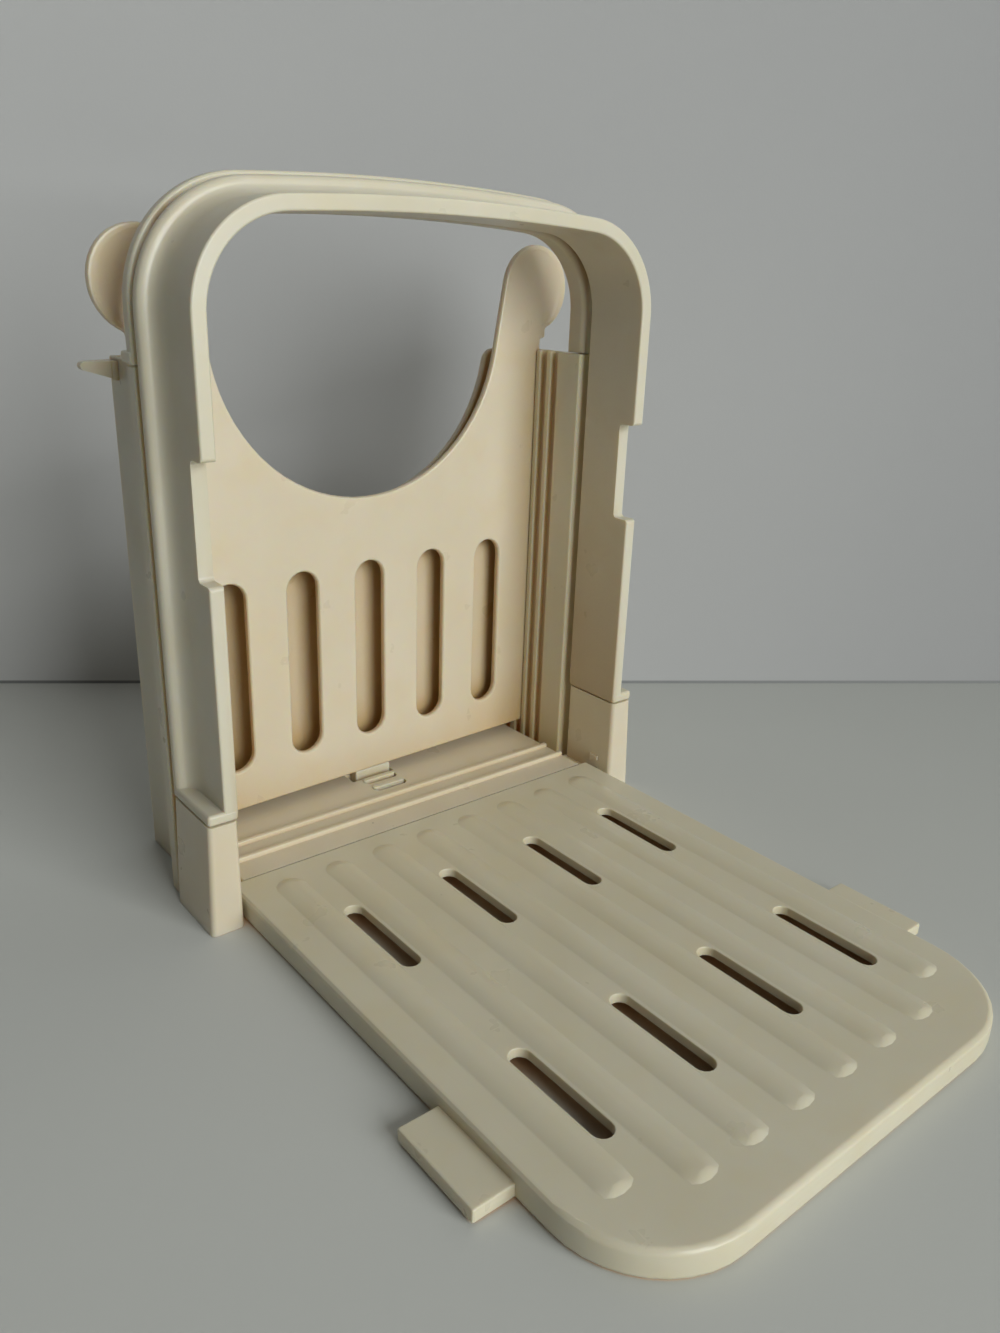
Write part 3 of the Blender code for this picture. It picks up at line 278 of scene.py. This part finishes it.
def specks(tree, place):
    """Sparse round specks: one in each cell of a net, but only in some of its cells."""
    cells = add(tree, "ShaderNodeTexVoronoi", {"Vector": place, "Scale": SPECKS_PER_METRE})
    edge = SPECK_RADIUS * SPECKS_PER_METRE
    spot = ranged(tree, cells.outputs["Distance"], edge * SPECK_CORE, edge, 1.0, 0.0)
    cell_value = add(tree, "ShaderNodeSeparateColor", {"Color": cells.outputs["Color"]}).outputs[0]
    return maths(tree, "MULTIPLY", spot, maths(tree, "LESS_THAN", cell_value, SPECKED_CELLS))


def scratches(tree, place, stretch):
    """Faint fine scratches along one direction."""
    return ranged(tree, noise(tree, place, 1.0, 0.0, stretch), 0.73, 0.8, 0.0, 1.0)


def bumps(tree, relief, height, normal=None, invert=False):
    """Relief of a given strength and depth, over another relief where normal is set."""
    inputs = {"Strength": relief["strength"], "Distance": relief["depth"], "Height": height}
    if normal:
        inputs["Normal"] = normal
    return add(tree, "ShaderNodeBump", inputs, invert=invert).outputs[0]


def closed_in(tree, place, painted_shade):
    """How far a point is closed in by what is around it, 0 to 1, as the share of painted warm
    shade.
    """
    open_air = add(tree, "ShaderNodeAmbientOcclusion", {"Distance": painted_shade["reach"]},
                   samples=OPEN_AIR_SAMPLES, only_local=painted_shade["alone"]).outputs["AO"]
    painted_shade_share = ranged(tree, open_air, *painted_shade["open"], 1.0, 0.0)
    if painted_shade["inner"]:
        axes = add(tree, "ShaderNodeSeparateXYZ", {0: place}).outputs
        across = ranged(tree, maths(tree, "ABSOLUTE", axes[0], 0.0), *INNER_FACE_X, 1.0, 0.0)
        below = ranged(tree, axes[2], *INNER_FACE_Z, 1.0, 0.0)
        painted_shade_share = maths(tree, "MULTIPLY", painted_shade_share, maths(tree, "MULTIPLY", across, below))
    return painted_shade_share


def moulded_plastic(name, colour, translucency, painted_shade):
    """Ivory injection-moulded plastic: translucent and satin, with painted warm shade where it is
    closed in, in place of light bounced inside.
    """
    material = bpy.data.materials.new(name)
    tree, shader = nodes_of(material)
    place = add(tree, "ShaderNodeTexCoord", {}).outputs["Object"]
    flow = noise(tree, place, FLOW_PER_METRE, 3.0, FLOW_STRETCH)
    clouds = noise(tree, place, CLOUD_PER_METRE)
    deep = tuple(part * shade for part, shade in zip(colour, DEEP_SHADE))
    aged = tuple(part * shade for part, shade in zip(colour, AGED_SHADE))
    paint = mixed(tree, ranged(tree, flow, 0.35, 0.65, 0.0, 1.0), (*colour, 1.0), (*deep, 1.0))
    paint = mixed(tree, ranged(tree, clouds, 0.5, 0.72, 0.0, AGED_SHARE), paint, (*aged, 1.0))
    # painted warm shade, multiplied into the colour where the surface is closed in
    paint = mixed(tree, closed_in(tree, place, painted_shade), paint, (*painted_shade["tint"], 1.0), "MULTIPLY")

    rounded = add(tree, "ShaderNodeBevel", {"Radius": EDGE_WEAR_REACH},
                  samples=EDGE_WEAR_SAMPLES).outputs[0]
    true_normal = add(tree, "ShaderNodeNewGeometry", {}).outputs["True Normal"]
    facing = add(tree, "ShaderNodeVectorMath", {0: rounded, 1: true_normal},
                 operation="DOT_PRODUCT")
    edge = ranged(tree, facing.outputs["Value"], 0.99, 0.9, 0.0, 1.0)
    rubbed = maths(tree, "MULTIPLY", edge, ranged(tree, clouds, 0.35, 0.6, 0.2, 1.0))
    paint = mixed(tree, maths(tree, "MULTIPLY", rubbed, EDGE_WEAR_SHARE), paint,
                  (*EDGE_TONE, 1.0))
    dots = maths(tree, "MULTIPLY", specks(tree, place), SPECK_SHARE)
    paint = mixed(tree, dots, paint, (*SPECK_TONE, 1.0))
    tree.links.new(paint, shader.inputs["Base Color"])

    first, second = (scratches(tree, place, stretch) for stretch in SCRATCH_STRETCHES)
    lines = maths(tree, "ADD", first, second)
    satin = ranged(tree, noise(tree, place, SATIN_PER_METRE, 3.0), 0.3, 0.7, SATIN_LOW, SATIN_HIGH)
    satin = maths(tree, "ADD", satin, maths(tree, "MULTIPLY", lines, SCRATCH_ROUGHNESS))
    satin = maths(tree, "SUBTRACT", satin, maths(tree, "MULTIPLY", rubbed, EDGE_WEAR_SHINE))
    tree.links.new(satin, shader.inputs["Roughness"])

    peel = bumps(tree, PEEL, noise(tree, place, PEEL["per_metre"]))
    grain = bumps(tree, GRAIN, noise(tree, place, GRAIN["per_metre"]), peel)
    relief = bumps(tree, SCRATCH_RELIEF, lines, grain, invert=True)
    tree.links.new(relief, shader.inputs["Normal"])

    shader.inputs["IOR"].default_value = REFRACTION
    shader.inputs["Subsurface Weight"].default_value = translucency
    shader.inputs["Subsurface Radius"].default_value = TRANSLUCENT_REACH
    shader.inputs["Subsurface Scale"].default_value = TRANSLUCENT_SCALE
    return material


def painted(name, colour, shaded_far_colour, rise, painted_under_shade=None):
    """Matt paint, with painted shade that darkens it along the wall's foot. The table takes painted
    warm shade close under the guide, and the wall a thin band of painted shade at its foot."""
    material = bpy.data.materials.new(name)
    tree, shader = nodes_of(material)
    place = add(tree, "ShaderNodeTexCoord", {}).outputs["Object"]
    start = Vector((*WALL_FOOT_LEFT, 0.0))
    along = Vector((*WALL_FOOT_RIGHT, rise)) - start
    reach = add(tree, "ShaderNodeVectorMath", {0: place, 1: along.normalized()},
                operation="DOT_PRODUCT")
    begin = start.dot(along.normalized())
    # painted shade: the paint darkens along the wall's foot towards the right
    share = ranged(tree, reach.outputs["Value"], begin, begin + along.length, 0.0, 1.0)
    paint = mixed(tree, share, colour, shaded_far_colour)
    cloud = noise(tree, place, PAINT_CLOUD_PER_METRE)
    paint = mixed(tree, ranged(tree, cloud, 0.3, 0.7, 0.0, PAINT_CLOUD_SHARE), paint, PAINT_CLOUD)
    if painted_under_shade:
        # painted warm shade on the table where the guide closes it in
        open_air = add(tree, "ShaderNodeAmbientOcclusion", {"Distance": UNDER_REACH},
                       samples=UNDER_SAMPLES).outputs["AO"]
        paint = mixed(tree, ranged(tree, open_air, 0.05, 0.35, 1.0, 0.0), paint, painted_under_shade)
    else:
        height = add(tree, "ShaderNodeSeparateXYZ", {0: place}).outputs[2]
        # painted shade in a thin band along the wall's foot
        seam_shade = ranged(tree, height, SEAM_HEIGHT, SEAM_HEIGHT * 1.5, 1.0, 0.0)
        paint = mixed(tree, seam_shade, paint, SEAM_PAINTED_SHADE)
    tree.links.new(paint, shader.inputs["Base Color"])
    shader.inputs["Roughness"].default_value = PAINT_ROUGHNESS
    fine = bumps(tree, PAINT_GRAIN, noise(tree, place, PAINT_GRAIN["per_metre"]))
    tree.links.new(fine, shader.inputs["Normal"])
    return material


def flat_sheet(name, corners, material):
    """One four-cornered sheet of the room."""
    mesh = bpy.data.meshes.new(name)
    mesh.from_pydata(corners, [], [(0, 1, 2, 3)])
    piece = bpy.data.objects.new(name, mesh)
    bpy.context.scene.collection.objects.link(piece)
    mesh.materials.append(material)


def make_room():
    """The back wall and the table, which meet along the wall's foot."""
    left = Vector(WALL_FOOT_LEFT)
    right = Vector(WALL_FOOT_RIGHT)
    along = (right - left).normalized()
    low = left - along * WALL_REACH
    high = right + along * WALL_REACH
    floor = -TABLE_DROP
    flat_sheet("back_wall", [(low.x, low.y, floor), (high.x, high.y, floor),
                             (high.x, high.y, WALL_REACH), (low.x, low.y, WALL_REACH)],
               painted("wall_paint", WALL_GREY, WALL_SHADED_GREY_RIGHT, WALL_SHADE_RISE))
    forward = Vector((along.y, -along.x)) * TABLE_REACH
    flat_sheet("table", [(low.x + forward.x, low.y + forward.y, floor),
                         (high.x + forward.x, high.y + forward.y, floor),
                         (high.x, high.y, floor), (low.x, low.y, floor)],
               painted("table_paint", TABLE_GREY, TABLE_SHADED_GREY_RIGHT, 0.0, TABLE_PAINTED_UNDER_SHADE))


def area_light(name, place, size, power, colour, aim):
    """A rectangular lamp that points at a place."""
    data = bpy.data.lights.new(name, "AREA")
    data.shape = "RECTANGLE"
    data.size, data.size_y = size
    data.energy = power
    data.color = colour
    lamp = bpy.data.objects.new(name, data)
    bpy.context.scene.collection.objects.link(lamp)
    lamp.location = place
    lamp.rotation_euler = (Vector(aim) - lamp.location).to_track_quat("-Z", "Y").to_euler()


def make_light():
    """The window, the ceiling's soft light, and a little light from all around."""
    area_light("window", WINDOW_PLACE, WINDOW_SIZE, WINDOW_POWER, WINDOW_COLOUR, WINDOW_AIM)
    area_light("ceiling", CEILING_PLACE, CEILING_SIZE, CEILING_POWER, CEILING_COLOUR,
               CEILING_AIM)
    world = bpy.data.worlds.new("room_light")
    bpy.context.scene.world = world
    world.use_nodes = True
    background = world.node_tree.nodes["Background"]
    background.inputs["Color"].default_value = ROOM_COLOUR
    background.inputs["Strength"].default_value = ROOM_LIGHT


def make_camera():
    """The camera that was fitted to the photograph."""
    data = bpy.data.cameras.new("camera")
    data.sensor_fit = "VERTICAL"
    data.sensor_height = SENSOR_LONG_SIDE
    data.lens = CAMERA_LENS
    data.clip_start = NEAR_CLIP
    camera = bpy.data.objects.new("camera", data)
    camera.location = CAMERA_PLACE
    camera.rotation_euler = [radians(turn) for turn in CAMERA_TURN]
    bpy.context.scene.collection.objects.link(camera)
    bpy.context.scene.camera = camera


def raise_ribs(shape):
    """The tray's ribs stand a little prouder, with steeper ends towards the tray's front edge."""
    for vertex in shape.verts:
        x, y, z = vertex.co
        if z > TRAY_TOP + RIB_START:
            vertex.co.z = TRAY_TOP + (z - TRAY_TOP) * RIB_GAIN
        if z > TRAY_TOP - RIB_START:
            tip = OUTER_RIB_TIP_Y if abs(x) > OUTER_RIB_X else RIB_TIP_Y
            if tip - RIB_START <= y <= tip + RIB_END_LENGTH + RIB_START:
                vertex.co.y = tip + (y - tip) * RIB_END_SHARE


def refined(node_name, material):
    """A finer moulding in the solid's place: softened edges and even shading over its faces."""
    source = frame["nodes"][node_name]
    mesh = MADE_HERE[node_name]() if node_name in MADE_HERE else source.data.copy()
    mesh.name = node_name + "_moulding"
    for name in ("custom_normal", "sharp_edge", "sharp_face"):
        if name in mesh.attributes:
            mesh.attributes.remove(mesh.attributes[name])
    shape = bmesh.new()
    shape.from_mesh(mesh)
    if node_name == "tray":
        raise_ribs(shape)
    bmesh.ops.remove_doubles(shape, verts=shape.verts, dist=WELD_DISTANCE)
    bmesh.ops.dissolve_limit(shape, angle_limit=FLAT_ANGLE, verts=shape.verts, edges=shape.edges)
    for face in shape.faces:
        face.smooth = True
    shape.to_mesh(mesh)
    shape.free()
    mesh.set_sharp_from_angle(angle=SHARP_ANGLE)
    mesh.materials.clear()
    mesh.materials.append(material)
    piece = bpy.data.objects.new(node_name + "_moulding", mesh)
    bpy.context.scene.collection.objects.link(piece)
    rounding = piece.modifiers.new("Soft edges", "BEVEL")
    rounding.width = SOFT_EDGE
    rounding.segments = 2
    rounding.limit_method = "ANGLE"
    rounding.angle_limit = SHARP_ANGLE
    rounding.use_clamp_overlap = True
    even = piece.modifiers.new("Even shading", "WEIGHTED_NORMAL")
    even.keep_sharp = False
    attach(piece, source["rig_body"])
    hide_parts(node_name)


def arc(centre, radii, start, end, steps):
    """Points on an arc of a circle or an ellipse, angles in degrees, both ends included."""
    turns = [radians(start + (end - start) * step / steps) for step in range(steps + 1)]
    return [(centre[0] + radii[0] * cos(turn), centre[1] + radii[1] * sin(turn)) for turn in turns]


def arch_line(half_width, top, corner_radius, foot):
    """An arch from its right foot over a slightly crowned top to its left foot."""
    corner_x = half_width - corner_radius
    crown_z = top - ARCH_CROWN_RADIUS
    corner_z = crown_z + sqrt((ARCH_CROWN_RADIUS - corner_radius) ** 2 - corner_x ** 2)
    lean = degrees(atan2(corner_x, corner_z - crown_z))
    corner = (corner_radius, corner_radius)
    crown = (ARCH_CROWN_RADIUS, ARCH_CROWN_RADIUS)
    points = [(half_width, foot)]
    points += arc((corner_x, corner_z), corner, 0, 90 - lean, CORNER_STEPS)
    points += arc((0.0, crown_z), crown, 90 - lean, 90 + lean, CROWN_STEPS)
    points += arc((-corner_x, corner_z), corner, 90 + lean, 180, CORNER_STEPS)
    points.append((-half_width, foot))
    return points


def sweep_arch(shape, corners, front, foot, rise=0.0):
    """Carry a section along the arch. Its points are the distance out from the opening, and Y."""
    section = [point for centre, radii, start, end, steps in corners
               for point in arc(centre, radii, start, end, steps)]
    inner = arch_line(ARCH_HALF_OPENING, ARCH_INNER_TOP, ARCH_CORNER_RADIUS, foot)
    outer = arch_line(ARCH_HALF_OPENING + ARCH_WIDTH, ARCH_INNER_TOP + ARCH_WIDTH + rise,
                      ARCH_CORNER_RADIUS + ARCH_WIDTH, foot)
    rings = []
    for low, high in zip(inner, outer):
        ring = []
        for out, back in section:
            share = out / ARCH_WIDTH
            ring.append(shape.verts.new((low[0] + (high[0] - low[0]) * share, front + back,
                                         low[1] + (high[1] - low[1]) * share)))
        rings.append(ring)
    for first, second in zip(rings, rings[1:]):
        for index in range(len(section)):
            shape.faces.new((first[index - 1], first[index], second[index], second[index - 1]))
    shape.faces.new(rings[0])
    shape.faces.new(rings[-1])


def finished_mesh(name, shape):
    """A mesh from a bmesh, with its faces turned outwards."""
    bmesh.ops.recalc_face_normals(shape, faces=shape.faces)
    mesh = bpy.data.meshes.new(name)
    shape.to_mesh(mesh)
    shape.free()
    return mesh


def block_mesh(across, along, height, side, radius=0.0):
    """A block on one leg of an arch, its edges rounded where radius is set."""
    shape = bmesh.new()
    ends = sorted((side * across[0], side * across[1]))
    low = Vector((ends[0], along[0], height[0]))
    high = Vector((ends[1], along[1], height[1]))
    placed = Matrix.Translation((low + high) / 2) @ Matrix.Diagonal((*(high - low), 1.0))
    bmesh.ops.create_cube(shape, size=1.0, matrix=placed)
    if radius:
        bmesh.ops.bevel(shape, geom=shape.edges[:], offset=radius, segments=4, affect="EDGES",
                        profile=0.5)
    return finished_mesh("block", shape)


def combined(name, body, steps):
    """One closed mesh: the body, with each step's mesh cut from it or joined to it."""
    meshes = [body] + [mesh for kind, mesh in steps]
    items = [bpy.data.objects.new(mesh.name, mesh) for mesh in meshes]
    for item in items:
        bpy.context.scene.collection.objects.link(item)
    for (kind, mesh), tool in zip(steps, items[1:]):
        change = items[0].modifiers.new(kind, "BOOLEAN")
        change.operation = kind
        change.solver = "EXACT"
        change.object = tool
    view = bpy.context.evaluated_depsgraph_get()
    mesh = bpy.data.meshes.new_from_object(items[0].evaluated_get(view))
    mesh.name = name
    for item in items:
        bpy.data.objects.remove(item, do_unlink=True)
    return mesh


def round_corner(x, y, radius, start, steps=EDGE_STEPS):
    """A quarter round of a section, turning outwards from a start angle."""
    return (x, y), (radius, radius), start, start + 90, steps


def rear_arch_mesh():
    """The rear arch: a shoulder beside the knife slit, a cove, and a web behind it, on two feet."""
    edge = SHOULDER_ROUND
    corners = (round_corner(INNER_ROUND, INNER_ROUND, INNER_ROUND, 180, INNER_STEPS),
               round_corner(ARCH_WIDTH - edge, edge, edge, 270),
               round_corner(ARCH_WIDTH - edge, REAR_SHOULDER_DEPTH - edge, edge, 0),
               ((WEB_WIDTH + COVE_ROUND, REAR_SHOULDER_DEPTH + COVE_ROUND),
                (COVE_ROUND, COVE_ROUND), 270, 180, COVE_STEPS),
               round_corner(WEB_WIDTH - edge, REAR_ARCH_DEPTH - edge, edge, 0),
               round_corner(edge, REAR_ARCH_DEPTH - edge, edge, 90))
    shape = bmesh.new()
    sweep_arch(shape, corners, REAR_ARCH_FRONT_Y, REAR_ARCH_FOOT, REAR_ARCH_RISE)
    steps = []
    for side in (-1, 1):
        steps.append(("UNION", block_mesh(REAR_FOOT_X, REAR_FOOT_Y, REAR_FOOT_Z, side,
                                          REAR_FOOT_ROUND)))
        steps.append(("UNION", block_mesh(REAR_PEG_X, REAR_PEG_Y, REAR_PEG_Z, side)))
    return combined("rear_arch_moulding", finished_mesh("plain_rear_arch", shape), steps)


def front_arch_mesh():
    """The front arch: a flange, a long cove up to the shoulder, foot plates and tongues."""
    edge = FLANGE_ROUND
    rear = FRONT_ARCH_DEPTH
    shoulder = rear - SHOULDER_DEPTH
    outer = ARCH_WIDTH - SHOULDER_FRONT_ROUND
    corners = (round_corner(edge, edge, edge, 180),
               round_corner(FLANGE_WIDTH - edge, edge, edge, 270),
               ((outer, shoulder - COVE_LENGTH), (outer - FLANGE_WIDTH, COVE_LENGTH),
                180, 90, LONG_COVE_STEPS),
               round_corner(outer, shoulder + SHOULDER_FRONT_ROUND, SHOULDER_FRONT_ROUND, 270),
               round_corner(ARCH_WIDTH - edge, rear - edge, edge, 0),
               round_corner(edge, rear - edge, edge, 90))
    shape = bmesh.new()
    sweep_arch(shape, corners, FRONT_ARCH_FRONT_Y, FRONT_ARCH_FOOT)
    steps = [("DIFFERENCE", notch_mesh())]
    for side in (-1, 1):
        steps.append(("UNION", block_mesh(FOOT_PLATE_X, FOOT_PLATE_Y, FOOT_PLATE_Z, side,
                                          FOOT_PLATE_ROUND)))
        steps.append(("UNION", block_mesh(TONGUE_X, TONGUE_Y, TONGUE_Z, side)))
    return combined("front_arch_moulding", finished_mesh("plain_front_arch", shape), steps)


def notch_mesh():
    """A bar across both legs, which leaves a round-cornered notch in each for the tray's tabs."""
    front = FRONT_ARCH_FRONT_Y
    back = NOTCH_BACK_Y
    low, high = NOTCH_Z
    turn = NOTCH_ROUND
    radii = (turn, turn)
    outline = [(front - turn, high + turn), (front - turn, low - turn)]
    outline += arc((front + turn, low - turn), radii, 180, 90, NOTCH_STEPS)
    outline += arc((back - turn, low + turn), radii, -90, 0, NOTCH_STEPS)
    outline += arc((back - turn, high - turn), radii, 0, 90, NOTCH_STEPS)
    outline += arc((front + turn, high + turn), radii, 270, 180, NOTCH_STEPS)
    shape = bmesh.new()
    left, right = ([shape.verts.new((x, y, z)) for y, z in outline]
                   for x in (-NOTCH_REACH, NOTCH_REACH))
    for index in range(len(outline)):
        shape.faces.new((left[index - 1], left[index], right[index], right[index - 1]))
    shape.faces.new(left)
    shape.faces.new(right)
    return finished_mesh("notch_cutter", shape)


MADE_HERE = {"front_arch": front_arch_mesh, "rear_arch": rear_arch_mesh}
for node_name in sorted(frame["nodes"]):
    plastic = moulded_plastic(node_name + "_ivory", COLOURS.get(node_name, IVORY),
                              TRANSLUCENCY.get(node_name, PLAIN_TRANSLUCENCY),
                              PAINTED_WARM_SHADE.get(node_name, CREVICE_PAINTED_SHADE))
    refined(node_name, plastic)
make_room()
make_light()
make_camera()
bpy.context.scene.view_settings.view_transform = "Standard"
